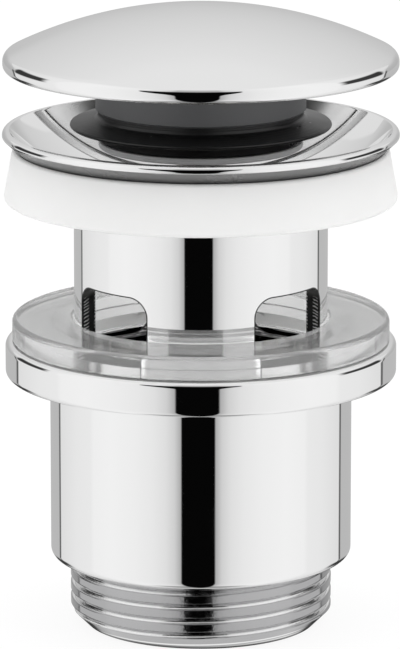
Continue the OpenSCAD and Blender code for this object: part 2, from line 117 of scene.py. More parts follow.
def sums(tree):
    """Arithmetic as nodes: calc("ADD", a, b) is the socket of a + b, and ease goes from least to most."""
    def calc(operation, *values):
        step = tree.nodes.new("ShaderNodeMath")
        step.operation = operation
        for socket, value in zip(step.inputs, values):
            put(tree, socket, value)
        return step.outputs[0]

    def ease(value, start, end, least=0.0, most=1.0, kind="SMOOTHSTEP"):
        step = tree.nodes.new("ShaderNodeMapRange")
        step.interpolation_type = kind
        for label, given in (("Value", value), ("From Min", start), ("From Max", end),
                             ("To Min", least), ("To Max", most)):
            put(tree, step.inputs[label], given)
        return step.outputs["Result"]

    return calc, ease


def noise(tree, place, scale, detail=2):
    """Cloudy noise over a surface, finer with a larger scale."""
    made = tree.nodes.new("ShaderNodeTexNoise")
    for label, value in (("Vector", place), ("Scale", scale), ("Detail", detail)):
        put(tree, made.inputs[label], value)
    return made.outputs["Fac"]


def bumped(tree, height, strength, depth):
    """Feeds a height to the shader's normal, with its depth in millimetres."""
    bump = tree.nodes.new("ShaderNodeBump")
    bump.inputs["Strength"].default_value = strength
    bump.inputs["Distance"].default_value = depth * MM
    tree.links.new(height, bump.inputs["Height"])
    tree.links.new(bump.outputs["Normal"], tree.nodes["Principled BSDF"].inputs["Normal"])


def haze_group():
    """Slow haze of a polished or turned surface: a little uneven gloss and a very shallow wave."""
    tree = node_group("polish_haze",
                      [("Scale", "NodeSocketFloat", 60.0), ("Least", "NodeSocketFloat", 0.03),
                       ("Most", "NodeSocketFloat", 0.08)],
                      [("Roughness", "NodeSocketFloat"), ("Wave", "NodeSocketFloat")])
    calc, ease = sums(tree)
    given, out = tree.nodes.new("NodeGroupInput"), tree.nodes.new("NodeGroupOutput")
    place = tree.nodes.new("ShaderNodeTexCoord").outputs["Object"]
    cloud = noise(tree, place, given.outputs["Scale"], 3)
    wave = noise(tree, place, calc("MULTIPLY", given.outputs["Scale"], 2.2), 1)
    gloss = ease(cloud, 0.35, 0.7, given.outputs["Least"], given.outputs["Most"], "LINEAR")
    tree.links.new(gloss, out.inputs["Roughness"])
    tree.links.new(wave, out.inputs["Wave"])
    return tree


polish_haze = haze_group()


def metal(name, colour, scale, least, most, wave=0.0, depth=0.02):
    """A bare or plated metal, polished unevenly between two roughnesses."""
    made = bpy.data.materials.new(name)
    made.use_nodes = True
    tree = made.node_tree
    shader = tree.nodes["Principled BSDF"]
    shader.inputs["Base Color"].default_value = (*colour, 1)
    shader.inputs["Metallic"].default_value = 1
    haze = tree.nodes.new("ShaderNodeGroup")
    haze.node_tree = polish_haze
    for label, value in (("Scale", scale), ("Least", least), ("Most", most)):
        haze.inputs[label].default_value = value
    tree.links.new(haze.outputs["Roughness"], shader.inputs["Roughness"])
    if wave:
        bumped(tree, haze.outputs["Wave"], wave, depth)
    return made


chrome_tone = (0.94, 0.94, 0.94)
chrome_plate = metal("chrome_plate", chrome_tone, scale=70, least=0.012, most=0.045, wave=0.06)

OUTLET_BORE, THREAD_R, OUTLET_LEN, OUTLET_CHAMFER = 17.5, 20.955, 11.0, 2.4
CUP_R, CUP_EDGE, COLLAR_LOW, COLLAR_TOP, COLLAR_R = 24.1, 1.2, 40.6, 46.3, 31.2
OUTLET_BREAK, COLLAR_LOW_ROUND, COLLAR_TOP_ROUND = 0.35, 0.9, 1.0
CUP_IN, MOUTH_CONE, CUP_FLOOR = 21.3, 2.6, 11.5
CUP_THREAD_R, CUP_THREAD_LOW, CUP_THREAD_TOP = 20.28, 14.0, 30.0
chamfer_rows, thread_rows = 20, 84
spigot = [(OUTLET_BORE, OUTLET_BREAK), (OUTLET_BORE + OUTLET_BREAK, 0)]
spigot += [(THREAD_R - OUTLET_CHAMFER + OUTLET_CHAMFER * i / chamfer_rows, OUTLET_CHAMFER * i / chamfer_rows)
           for i in range(chamfer_rows + 1)]
spigot += [(THREAD_R, OUTLET_CHAMFER + (OUTLET_LEN - OUTLET_CHAMFER) * (i + 1) / thread_rows)
           for i in range(thread_rows)]
cup = arc(CUP_R - CUP_EDGE, OUTLET_LEN + CUP_EDGE, CUP_EDGE, -90, 0)
collar = [(CUP_R, COLLAR_LOW)]
collar += arc(COLLAR_R - COLLAR_LOW_ROUND, COLLAR_LOW + COLLAR_LOW_ROUND, COLLAR_LOW_ROUND, -90, 0)
collar += arc(COLLAR_R - COLLAR_TOP_ROUND, COLLAR_TOP - COLLAR_TOP_ROUND, COLLAR_TOP_ROUND, 0, 90)
cup_inside = [(CUP_IN + MOUTH_CONE, COLLAR_TOP), (CUP_IN, COLLAR_TOP - MOUTH_CONE),
              (CUP_IN, CUP_THREAD_TOP + CUP_IN - CUP_THREAD_R), (CUP_THREAD_R, CUP_THREAD_TOP),
              (CUP_THREAD_R, CUP_THREAD_LOW), (OUTLET_BORE, CUP_FLOOR)]
body_piece = turned("waste_body_dressed", spigot + cup + collar + cup_inside, around=256)


def diagonal(calc, a, b):
    """Length of the slanted side over two values."""
    return calc("SQRT", calc("ADD", calc("MULTIPLY", a, a), calc("MULTIPLY", b, b)))


def thread_tree():
    """Geometry nodes that cut a pipe thread into a turned piece, with flat crests and narrow roots."""
    tree = node_group("pipe_thread",
                      [("Geometry", "NodeSocketGeometry", None), ("Pitch", "NodeSocketFloat", 0.002309),
                       ("Depth", "NodeSocketFloat", 0.0009), ("Root Share", "NodeSocketFloat", 0.45),
                       ("Start", "NodeSocketFloat", 0.0), ("Crest", "NodeSocketFloat", 0.021),
                       ("Inner", "NodeSocketFloat", 0.018), ("Low", "NodeSocketFloat", 0.0),
                       ("High", "NodeSocketFloat", 0.01), ("Fade", "NodeSocketFloat", 0.0006),
                       ("Plate", "NodeSocketMaterial", None), ("Cut", "NodeSocketMaterial", None)],
                      [("Geometry", "NodeSocketGeometry")], "GeometryNodeTree")
    node, link = tree.nodes.new, tree.links.new
    calc, ease = sums(tree)
    given, out = node("NodeGroupInput"), node("NodeGroupOutput")
    split = node("ShaderNodeSeparateXYZ")
    link(node("GeometryNodeInputPosition").outputs[0], split.inputs[0])
    x, y, z = split.outputs
    radius = diagonal(calc, x, y)
    turn = calc("DIVIDE", calc("ARCTAN2", y, x), 2 * math.pi)
    rise = calc("DIVIDE", calc("SUBTRACT", z, given.outputs["Start"]), given.outputs["Pitch"])
    share = calc("FLOORED_MODULO", calc("SUBTRACT", rise, turn), 1.0)
    from_root = calc("MULTIPLY", calc("ABSOLUTE", calc("SUBTRACT", share, 0.5)), 2.0)
    groove = ease(from_root, given.outputs["Root Share"], 0.0)
    low, high, fade = given.outputs["Low"], given.outputs["High"], given.outputs["Fade"]
    ends = calc("MULTIPLY", ease(z, low, calc("ADD", low, fade)), ease(z, high, calc("SUBTRACT", high, fade)))
    outside = calc("GREATER_THAN", radius, given.outputs["Inner"])
    within = calc("MULTIPLY", calc("LESS_THAN", z, high), calc("GREATER_THAN", z, low))
    threaded = calc("MULTIPLY", outside, within)
    wanted = calc("SUBTRACT", given.outputs["Crest"], calc("MULTIPLY", groove, given.outputs["Depth"]))
    over = calc("MAXIMUM", calc("SUBTRACT", radius, wanted), 0)
    cut = calc("MULTIPLY", over, calc("MULTIPLY", ends, threaded))
    shrink = calc("DIVIDE", calc("SUBTRACT", radius, cut), radius)
    place = node("ShaderNodeCombineXYZ")
    for socket, value in zip(place.inputs, (calc("MULTIPLY", x, shrink), calc("MULTIPLY", y, shrink), z)):
        link(value, socket)
    # The flank share is stored for the thread's finish, which paints the flanks bright as a reflection.
    flank = calc("MULTIPLY", calc("MULTIPLY", groove, calc("SUBTRACT", 1, groove)), 4)
    keep = node("GeometryNodeStoreNamedAttribute")
    keep.data_type, keep.domain = "FLOAT", "POINT"
    keep.inputs["Name"].default_value = "thread_flank"
    link(given.outputs["Geometry"], keep.inputs["Geometry"])
    link(calc("MULTIPLY", flank, calc("MULTIPLY", ends, threaded)), keep.inputs["Value"])
    press = node("GeometryNodeSetPosition")
    link(keep.outputs[0], press.inputs["Geometry"])
    link(place.outputs[0], press.inputs["Position"])
    real = node("GeometryNodeRealizeInstances")
    plate, bare = node("GeometryNodeSetMaterial"), node("GeometryNodeSetMaterial")
    link(press.outputs[0], real.inputs[0])
    link(real.outputs[0], plate.inputs["Geometry"])
    link(given.outputs["Plate"], plate.inputs["Material"])
    link(plate.outputs[0], bare.inputs["Geometry"])
    link(threaded, bare.inputs["Selection"])
    link(given.outputs["Cut"], bare.inputs["Material"])
    link(bare.outputs[0], out.inputs[0])
    return tree


pipe_thread = thread_tree()


def plain_mesh(piece):
    """Keeps what a piece's modifiers make as its plain mesh."""
    ready = piece.evaluated_get(bpy.context.evaluated_depsgraph_get())
    mesh = bpy.data.meshes.new_from_object(ready)
    piece.modifiers.clear()
    piece.data = mesh


def grow(piece, tree, values):
    """Runs a geometry tree on a piece with the given sizes and finishes."""
    modifier = piece.modifiers.new(tree.name, "NODES")
    modifier.node_group = tree
    for item in tree.interface.items_tree:
        if item.in_out == "INPUT" and item.name in values:
            modifier[item.identifier] = values[item.name]
    plain_mesh(piece)


def settle(piece, body, replaced):
    """Hangs a finished piece on its body in place of the solid that it stands for."""
    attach(piece, body)
    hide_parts(replaced)


def object_place(tree):
    """The object's own coordinates: the whole vector, then x, y and z."""
    place, split = tree.nodes.new("ShaderNodeTexCoord"), tree.nodes.new("ShaderNodeSeparateXYZ")
    tree.links.new(place.outputs["Object"], split.inputs[0])
    return place.outputs["Object"], *split.outputs


def two_tones(tree, amount, first, second):
    """A blend from one colour to another."""
    tone = tree.nodes.new("ShaderNodeMix")
    tone.data_type = "RGBA"
    for label, value in (("Factor", amount), ("A", first), ("B", second)):
        put(tree, tone.inputs[label], value)
    return tone.outputs["Result"]


def dimmed(tree, colour, amount):
    """A colour made darker by a share from 0 to 1."""
    shade = tree.nodes.new("ShaderNodeVectorMath")
    shade.operation = "SCALE"
    tree.links.new(colour, shade.inputs[0])
    tree.links.new(amount, shade.inputs["Scale"])
    return shade.outputs[0]


# The thread's lowest half millimetre is darkened: painted shade, mirrored from the table under the part.
FOOT_LOW, FOOT_HIGH, FOOT_SHADE_TONE = 0.2, 0.7, 0.06


def thread_finish():
    """The cut thread: brushed, with painted reflections that leave its crests grey and its flanks bright, and
    painted shade at its foot.
    """
    made = metal("cut_thread", (0.7, 0.7, 0.7), scale=900, least=0.07, most=0.16, wave=0.3, depth=0.03)
    tree = made.node_tree
    ease = sums(tree)[1]
    flank = tree.nodes.new("ShaderNodeAttribute")
    flank.attribute_name = "thread_flank"
    # Painted reflection: the flanks are painted bright and the crests grey.
    flank_highlight = ease(flank.outputs["Fac"], 0.25, 0.8)
    tone = two_tones(tree, flank_highlight, (0.48, 0.48, 0.485, 1), (0.97, 0.97, 0.97, 1))
    # Painted shade at the foot of the thread.
    foot_shade = ease(object_place(tree)[3], FOOT_LOW * MM, FOOT_HIGH * MM, FOOT_SHADE_TONE, 1)
    tree.links.new(dimmed(tree, tone, foot_shade), tree.nodes["Principled BSDF"].inputs["Base Color"])
    return made


cut_thread = thread_finish()
THREAD_PITCH, THREAD_DEPTH, ROOT_SHARE = 2.309, 1.15, 0.5
THREAD_START, THREAD_FROM_R, THREAD_LOW, THREAD_TOP, THREAD_FADE = -2.3, 18.3, -1.0, 10.6, 0.9
grow(body_piece, pipe_thread,
     {"Pitch": THREAD_PITCH * MM, "Depth": THREAD_DEPTH * MM, "Root Share": ROOT_SHARE,
      "Start": THREAD_START * MM, "Crest": THREAD_R * MM, "Inner": THREAD_FROM_R * MM, "Low": THREAD_LOW * MM,
      "High": THREAD_TOP * MM, "Fade": THREAD_FADE * MM, "Plate": chrome_plate, "Cut": cut_thread})
settle(body_piece, "body", "waste_body")


# Lower gasket: a flat ring of clear soft vinyl, cut from extruded tube. It lies loose on the collar
# and seals under the basin.
def skin_group():
    """Fine moulded skin: a pebbled height and a soft change of tone and gloss."""
    tree = node_group("moulded_skin",
                      [("Scale", "NodeSocketFloat", 900.0), ("Colour", "NodeSocketColor", (0.5, 0.5, 0.5, 1)),
                       ("Change", "NodeSocketFloat", 0.1), ("Least", "NodeSocketFloat", 0.3),
                       ("Most", "NodeSocketFloat", 0.5)],
                      [("Colour", "NodeSocketColor"), ("Roughness", "NodeSocketFloat"),
                       ("Height", "NodeSocketFloat")])
    calc, ease = sums(tree)
    given, out = tree.nodes.new("NodeGroupInput"), tree.nodes.new("NodeGroupOutput")
    place = tree.nodes.new("ShaderNodeTexCoord").outputs["Object"]
    fine = noise(tree, place, given.outputs["Scale"])
    broad = noise(tree, place, 55, 4)
    shade = ease(broad, 0.3, 0.7, calc("SUBTRACT", 1, given.outputs["Change"]), 1, "LINEAR")
    gloss = ease(broad, 0.3, 0.7, given.outputs["Least"], given.outputs["Most"], "LINEAR")
    tree.links.new(dimmed(tree, given.outputs["Colour"], shade), out.inputs["Colour"])
    tree.links.new(gloss, out.inputs["Roughness"])
    tree.links.new(fine, out.inputs["Height"])
    return tree


moulded_skin = skin_group()


def moulded(name, colour, change, scale, least, most, depth, **extra):
    """A moulded plastic or rubber with a fine skin."""
    made = bpy.data.materials.new(name)
    made.use_nodes = True
    tree = made.node_tree
    shader = tree.nodes["Principled BSDF"]
    skin = tree.nodes.new("ShaderNodeGroup")
    skin.node_tree = moulded_skin
    for label, value in (("Scale", scale), ("Change", change), ("Least", least), ("Most", most)):
        skin.inputs[label].default_value = value
    skin.inputs["Colour"].default_value = (*colour, 1)
    tree.links.new(skin.outputs["Colour"], shader.inputs["Base Color"])
    tree.links.new(skin.outputs["Roughness"], shader.inputs["Roughness"])
    bumped(tree, skin.outputs["Height"], 0.6, depth)
    for label, value in extra.items():
        shader.inputs[label.replace("_", " ")].default_value = value
    return made


clear_vinyl = moulded("clear_vinyl", (0.93, 0.932, 0.93), change=0.12, scale=160, least=0.06, most=0.14,
                      depth=0.004, Transmission_Weight=0.85, IOR=1.42)
CLEAR_R, CLEAR_IN, CLEAR_LOW, CLEAR_TOP = 30.1, 20.5, 46.34, 50.0
clear_round, clear_top_round = 0.3, 0.8
clear_profile = [(CLEAR_IN, CLEAR_LOW)]
clear_profile += arc(CLEAR_R - clear_round, CLEAR_LOW + clear_round, clear_round, -90, 0, 4)
clear_profile += arc(CLEAR_R - clear_top_round, CLEAR_TOP - clear_top_round, clear_top_round, 0, 90)
clear_profile += arc(CLEAR_IN + clear_round, CLEAR_TOP - clear_round, clear_round, 90, 180, 4)
clear_piece = turned("lower_gasket_dressed", clear_profile)
clear_piece.data.materials.append(clear_vinyl)
settle(clear_piece, "gasket", "lower_gasket")


# Waste flange: the dished flange and the tube below it, one brass piece turned inside and out and
# chrome plated. Four windows are milled through the tube for the basin's overflow.
FLANGE_R, RIM_LOW, RIM_TOP, DISH_TOP_R = 31.5, 79.1, 80.35, 30.4
TUBE_R, TUBE_IN, THROAT_R, TUBE_LOW = 20.2, 17.85, 17.4, 24.0
# The seal's lip meets the dish on this ring, and the dish's slope is taken from there to its rim.
LIP_R, LIP_Z = 20.75, 71.7
DISH_SLOPE = (RIM_TOP - LIP_Z) / (DISH_TOP_R - LIP_R)
BOWL_R, DISH_WALL, SPIDER_TOP = 34.0, 1.5, 65.35
DISH_DROP = DISH_WALL * math.hypot(1, DISH_SLOPE)


def under_z(r):
    """Height of the dish's conical underside at a radius."""
    return RIM_TOP - (DISH_TOP_R - r) * DISH_SLOPE - DISH_DROP


slope_deg = math.degrees(math.atan(DISH_SLOPE))
half_chord = math.hypot(DISH_TOP_R - LIP_R, RIM_TOP - LIP_Z) / 2
bowl_reach = math.sqrt(BOWL_R ** 2 - half_chord ** 2)
bowl_centre_r = (DISH_TOP_R + LIP_R) / 2 - bowl_reach * math.sin(math.radians(slope_deg))
bowl_centre_z = (RIM_TOP + LIP_Z) / 2 + bowl_reach * math.cos(math.radians(slope_deg))


def bowl_turn(r):
    """Direction from the bowl's centre to its surface at a radius, in degrees."""
    return -math.degrees(math.acos((r - bowl_centre_r) / BOWL_R))


bowl_edge = 90 + bowl_turn(DISH_TOP_R)
rim_low_round, rim_top_round, dish_round = 0.3, 0.9, 0.25
tube_chamfer, neck_round, throat_round = 0.8, 0.4, 0.5
under_tube = under_z(TUBE_R)
flange_profile = [(TUBE_IN, TUBE_LOW), (TUBE_R - tube_chamfer, TUBE_LOW), (TUBE_R, TUBE_LOW + tube_chamfer)]
flange_profile += [(TUBE_R, under_tube - neck_round),
                   (TUBE_R + 0.3 * neck_round, under_tube - 0.3 * neck_round),
                   (TUBE_R + neck_round, under_tube + 0.9 * neck_round)]
flange_profile += arc(FLANGE_R - rim_low_round, RIM_LOW + rim_low_round, rim_low_round, slope_deg - 90, 0, 6)
flange_profile += arc(FLANGE_R - rim_top_round, RIM_TOP - rim_top_round, rim_top_round, 0, 90, 8)
flange_profile += arc(DISH_TOP_R + dish_round * math.tan(math.radians(bowl_edge / 2)), RIM_TOP - dish_round,
                      dish_round, 90, 90 + bowl_edge, 5)
bowl_rows = 96
flange_profile += arc(bowl_centre_r, bowl_centre_z, BOWL_R, bowl_turn(DISH_TOP_R - 0.8 * dish_round),
                      bowl_turn(THROAT_R + throat_round), bowl_rows)
throat_z = bowl_centre_z + BOWL_R * math.sin(math.radians(bowl_turn(THROAT_R)))
flange_profile += [(THROAT_R + 0.24 * throat_round, throat_z - 0.12 * throat_round),
                   (THROAT_R, throat_z - 0.7 * throat_round), (THROAT_R, SPIDER_TOP), (TUBE_IN, SPIDER_TOP)]
flange_piece = turned("waste_flange_dressed", flange_profile, around=320)
WINDOW_W, WINDOW_H, WINDOW_R, WINDOW_TOP, WINDOW_TURN = 15.0, 13.4, 3.0, 56.5, 46.75
window_mid = WINDOW_TOP - WINDOW_H / 2
half_w, half_h = WINDOW_W / 2 - WINDOW_R, WINDOW_H / 2 - WINDOW_R
EDGE_LINE, EDGE_SOFT = 0.24, 0.1


def flange_finish():
    """The flange's chrome plate, with a fine dark line painted along the outer edges of the windows."""
    made = chrome_plate.copy()
    made.name = "flange_plate"
    tree = made.node_tree
    calc, ease = sums(tree)
    plate = tree.nodes["Principled BSDF"].inputs["Base Color"]
    x, y, z = object_place(tree)[1:]
    side = math.radians(90 - WINDOW_TURN)
    across = calc("SUBTRACT", calc("MULTIPLY", calc("ABSOLUTE", y), math.cos(side)),
                  calc("MULTIPLY", calc("ABSOLUTE", x), math.sin(side)))
    up = calc("SUBTRACT", z, window_mid * MM)
    beside = calc("MAXIMUM", calc("SUBTRACT", calc("ABSOLUTE", across), half_w * MM), 0)
    above = calc("MAXIMUM", calc("SUBTRACT", calc("ABSOLUTE", up), half_h * MM), 0)
    from_edge = calc("SUBTRACT", diagonal(calc, beside, above), WINDOW_R * MM)
    # A fine dark line is painted along the outer edges of the windows.
    dark_edge_line = ease(from_edge, EDGE_LINE * MM, (EDGE_LINE - EDGE_SOFT) * MM)
    tree.links.new(two_tones(tree, dark_edge_line, tuple(plate.default_value), (0.04, 0.04, 0.04, 1)), plate)
    return made


flange_piece.data.materials.append(flange_finish())
STEP_FROM_R, STEP_TO_R, STEP_TOP = 18.7, 19.9, 54.8
STEP_LENGTH, STEP_LEAN, STEP_UNEVEN = 0.55, 0.3, 9.0


def milled_finish():
    """The window edges: dark bare metal, with the cutter's fine steps over the outer half of the wall, their
    crests painted bright as glints.
    """
    made = metal("milled_edge", (0.1, 0.1, 0.1), scale=900, least=0.28, most=0.5)
    tree = made.node_tree
    calc, ease = sums(tree)
    shader = tree.nodes["Principled BSDF"]
    place, x, y, z = object_place(tree)
    radius = diagonal(calc, x, y)
    outer = calc("MULTIPLY", ease(radius, STEP_FROM_R * MM, (STEP_FROM_R + 0.3) * MM),
                 ease(radius, STEP_TO_R * MM, (STEP_TO_R - 0.2) * MM))
    lower = ease(z, STEP_TOP * MM, (STEP_TOP - 1.2) * MM)
    leaning = calc("MULTIPLY_ADD", radius, STEP_LEAN, z)
    even = calc("MULTIPLY", leaning, 2 * math.pi / (STEP_LENGTH * MM))
    along = calc("MULTIPLY_ADD", noise(tree, place, 700), STEP_UNEVEN, even)
    steps_and_glints = calc("MULTIPLY", ease(calc("SINE", along), -0.1, 0.9), calc("MULTIPLY", outer, lower))
    # Painted glints: the steps are painted near white and made less metallic, so that they shine; the same
    # steps also feed the bump.
    tone = two_tones(tree, steps_and_glints, (0.05, 0.05, 0.05, 1), (0.95, 0.95, 0.95, 1))
    tree.links.new(tone, shader.inputs["Base Color"])
    tree.links.new(calc("MULTIPLY_ADD", steps_and_glints, -0.9, 1), shader.inputs["Metallic"])
    bumped(tree, steps_and_glints, 0.7, 0.12)
    return made


milled_edge = milled_finish()
CUTTER_FROM, CUTTER_TO = 10, 26


def window_cutter(turn):
    """A rounded bar that mills one window, pointing out along its own direction."""
    outline = []
    for sign_u, sign_v, start in ((1, 1, 0), (-1, 1, 90), (-1, -1, 180), (1, -1, 270)):
        outline += arc(sign_u * half_w, window_mid + sign_v * half_h, WINDOW_R, start, start + 90, 12)
    along = Vector((math.cos(turn), math.sin(turn), 0))
    across = Vector((-math.sin(turn), math.cos(turn), 0))
    shape = bmesh.new()
    ends = []
    for reach in (CUTTER_FROM, CUTTER_TO):
        places = [along * reach + across * u + Vector((0, 0, v)) for u, v in outline]
        ends.append([shape.verts.new(place * MM) for place in places])
    shape.faces.new(list(reversed(ends[0])))
    shape.faces.new(ends[1])
    count = len(outline)
    for k in range(count):
        n = (k + 1) % count
        shape.faces.new((ends[0][k], ends[0][n], ends[1][n], ends[1][k]))
    mesh = bpy.data.meshes.new("window_cutter")
    shape.to_mesh(mesh)
    shape.free()
    mesh.shade_smooth()
    mesh.materials.append(milled_edge)
    cutter = bpy.data.objects.new("window_cutter", mesh)
    bpy.context.scene.collection.objects.link(cutter)
    return cutter


def cut_away(piece, cutters):
    """Cuts the tools' shapes out of a piece and throws the tools away."""
    for tool in cutters:
        cut = piece.modifiers.new("cut", "BOOLEAN")
        cut.operation, cut.solver, cut.object = "DIFFERENCE", "EXACT", tool
        cut.material_mode = "TRANSFER"
    plain_mesh(piece)
    for tool in cutters:
        bpy.data.objects.remove(tool)


def true_round(mesh, radii, low, high):
    """Gives the faces of round walls their true normals, so that cuts leave no marks in the reflections."""
    mesh.set_sharp_from_angle(angle=math.radians(SHARP_DEG))
    normals = [Vector(n.vector) for n in mesh.corner_normals]
    for face in mesh.polygons:
        if abs(face.normal.z) > 0.05:
            continue
        corners = [mesh.vertices[mesh.loops[i].vertex_index].co for i in face.loop_indices]
        for wall in radii:
            if all(abs(math.hypot(c.x, c.y) / MM - wall) < 0.02 and low < c.z / MM < high for c in corners):
                for i, c in zip(face.loop_indices, corners):
                    out = Vector((c.x, c.y, 0)).normalized()
                    normals[i] = out if out.dot(face.normal) > 0 else -out
    mesh.normals_split_custom_set(normals)


def finish_where(piece, material, wanted):
    """Gives another finish to the faces that the rule picks by place and direction, in millimetres."""
    piece.data.materials.append(material)
    last = len(piece.data.materials) - 1
    for face in piece.data.polygons:
        if wanted(math.hypot(face.center.x, face.center.y) / MM, face.center.z / MM, face.normal.z):
            face.material_index = last


# The flange's underside gets a rough dark metal: rough as turned, and painted darker as the shade under the
# rim.
turned_and_shaded = metal("turned_and_shaded", (0.25, 0.25, 0.25), scale=150, least=0.26, most=0.34, wave=0.1)
turns = [math.radians(side + sign * WINDOW_TURN) for side in (-90, 90) for sign in (-1, 1)]
cut_away(flange_piece, [window_cutter(t) for t in turns])
true_round(flange_piece.data, (TUBE_R, TUBE_IN), TUBE_LOW + 0.5, under_tube - 0.3)
finish_where(flange_piece, turned_and_shaded,
             lambda r, z, up: up < -0.3 and z > under_tube and r < FLANGE_R - rim_low_round)
settle(flange_piece, "flange", "waste_flange")


# Flange gasket: a thick ring of soft white moulding, conical inside to sit under the dish. It seals
# the flange on the basin.
white_soft = moulded("white_soft", (0.86, 0.86, 0.855), change=0.03, scale=420, least=0.5, most=0.62,
                     depth=0.02, Subsurface_Weight=0.25, Subsurface_Scale=0.003, Subsurface_Radius=(1, 1, 1))
WHITE_LOW_R, WHITE_TOP_R, WHITE_LEAN_H = 31.25, 30.0, 6.3
white_foot, white_top, white_round, top_inset = 69.05, 77.2, 0.6, 0.62
cone_gap, tube_gap, foot_break = 0.1, 0.2, 0.25
cone_low = TUBE_R + (white_foot - under_tube + cone_gap) / DISH_SLOPE
cone_high = TUBE_R + (white_top - under_tube + cone_gap) / DISH_SLOPE
white_in = max(TUBE_R + tube_gap, cone_low)
lean = math.degrees(math.atan2(WHITE_LOW_R - WHITE_TOP_R, WHITE_LEAN_H))
white_profile = [(white_in, white_foot)]
white_profile += arc(WHITE_LOW_R - white_round, white_foot + white_round, white_round, -90, lean, 8)
white_profile += arc(WHITE_TOP_R - top_inset, white_top - white_round, white_round, lean, 84, 8)
white_profile += [(cone_high + cone_gap, white_top), (cone_high, white_top - cone_gap),
                  (white_in, white_foot + foot_break)]
white_piece = turned("flange_gasket_dressed", white_profile)
white_piece.data.materials.append(white_soft)
settle(white_piece, "flange", "flange_gasket")


# Spider and barrel: the spider is screwed up the tube from below, and the barrel hangs in its hub
# between a fibre washer and a nut. They are turned or milled from brass and nickel plated.
satin_nickel = metal("satin_nickel", (0.68, 0.67, 0.64), scale=260, least=0.14, most=0.3, wave=0.2,
                     depth=0.03)
red_fibre = moulded("red_fibre", (0.33, 0.06, 0.04), change=0.35, scale=1600, least=0.6, most=0.8, depth=0.06)


def dress(material, *names):
    """Gives CAD solids that are already right their finish."""
    for name in names:
        nodes[name].data.materials.clear()
        nodes[name].data.materials.append(material)


dress(satin_nickel, "spider", "cartridge_barrel", "barrel_nut")
dress(red_fibre, "barrel_washer")


# Drum and post: the drum is moulded in acetal with its zigzag track and turns on the brass post that
# closes the barrel's foot. A steel ring holds the post, and a steel washer on it seats the spring.
bare_brass = metal("bare_brass", (0.72, 0.53, 0.26), scale=300, least=0.18, most=0.34, wave=0.25, depth=0.03)
bright_steel = metal("bright_steel", (0.6, 0.6, 0.6), scale=500, least=0.16, most=0.3, wave=0.2)
natural_acetal = moulded("natural_acetal", (0.82, 0.8, 0.73), change=0.05, scale=800, least=0.3, most=0.42,
                         depth=0.02)
dress(bare_brass, "drum_post")
dress(natural_acetal, "index_drum")
dress(bright_steel, "retaining_ring", "spring_washer")


# Return spring: steel wire wound with closed ends, standing on its washer inside the hollow plunger.
# It is squeezed as the plug goes down and lifts it again.
SPRING_R, SPRING_WIRE, SPRING_TURNS, SPRING_LOW, SPRING_TOP = 2.7, 0.6, 12, 49.8, 75.0


def spring_tree():
    """Geometry nodes that wind round wire into a spring whose first and last turns lie closed."""
    tree = node_group("wound_spring",
                      [("Geometry", "NodeSocketGeometry", None), ("Radius", "NodeSocketFloat", 0.003),
                       ("Wire", "NodeSocketFloat", 0.0006), ("Turns", "NodeSocketFloat", 12.0),
                       ("Low", "NodeSocketFloat", 0.0), ("High", "NodeSocketFloat", 0.02),
                       ("Points", "NodeSocketInt", 400), ("Material", "NodeSocketMaterial", None)],
                      [("Geometry", "NodeSocketGeometry")], "GeometryNodeTree")
    node, link = tree.nodes.new, tree.links.new
    calc = sums(tree)[0]
    given, out = node("NodeGroupInput"), node("NodeGroupOutput")
    line, many = node("GeometryNodeCurvePrimitiveLine"), node("GeometryNodeResampleCurve")
    link(line.outputs[0], many.inputs["Curve"])
    link(given.outputs["Points"], many.inputs["Count"])
    turn = calc("MULTIPLY", node("GeometryNodeSplineParameter").outputs["Factor"], given.outputs["Turns"])
    open_turns = calc("SUBTRACT", given.outputs["Turns"], 2)
    wire = given.outputs["Wire"]
    tall = calc("SUBTRACT", given.outputs["High"], given.outputs["Low"])
    pitch = calc("DIVIDE", calc("SUBTRACT", tall, calc("MULTIPLY", wire, 3)), open_turns)
    first = calc("MULTIPLY", calc("MINIMUM", turn, 1), wire)
    middle = calc("MAXIMUM", calc("MINIMUM", calc("SUBTRACT", turn, 1), open_turns), 0)
    last = calc("MAXIMUM", calc("SUBTRACT", turn, calc("ADD", open_turns, 1)), 0)
    rise = calc("ADD", first, calc("MULTIPLY_ADD", last, wire, calc("MULTIPLY", middle, pitch)))
    z = calc("ADD", calc("MULTIPLY_ADD", wire, 0.5, given.outputs["Low"]), rise)
    angle = calc("MULTIPLY", turn, 2 * math.pi)
    place = node("ShaderNodeCombineXYZ")
    wind = node("GeometryNodeSetPosition")
    x, y = [calc("MULTIPLY", calc(wave, angle), given.outputs["Radius"]) for wave in ("COSINE", "SINE")]
    for socket, value in zip(place.inputs, (x, y, z)):
        link(value, socket)
    link(many.outputs[0], wind.inputs["Geometry"])
    link(place.outputs[0], wind.inputs["Position"])
    ring, sweep = node("GeometryNodeCurvePrimitiveCircle"), node("GeometryNodeCurveToMesh")
    ring.inputs["Resolution"].default_value = 12
    link(calc("MULTIPLY", wire, 0.5), ring.inputs["Radius"])
    link(wind.outputs[0], sweep.inputs["Curve"])
    link(ring.outputs[0], sweep.inputs["Profile Curve"])
    sweep.inputs["Fill Caps"].default_value = True
    smooth, real = node("GeometryNodeSetShadeSmooth"), node("GeometryNodeRealizeInstances")
    paint = node("GeometryNodeSetMaterial")
    link(sweep.outputs[0], smooth.inputs[0])
    link(smooth.outputs[0], real.inputs[0])
    link(real.outputs[0], paint.inputs["Geometry"])
    link(given.outputs["Material"], paint.inputs["Material"])
    link(paint.outputs[0], out.inputs[0])
    return tree


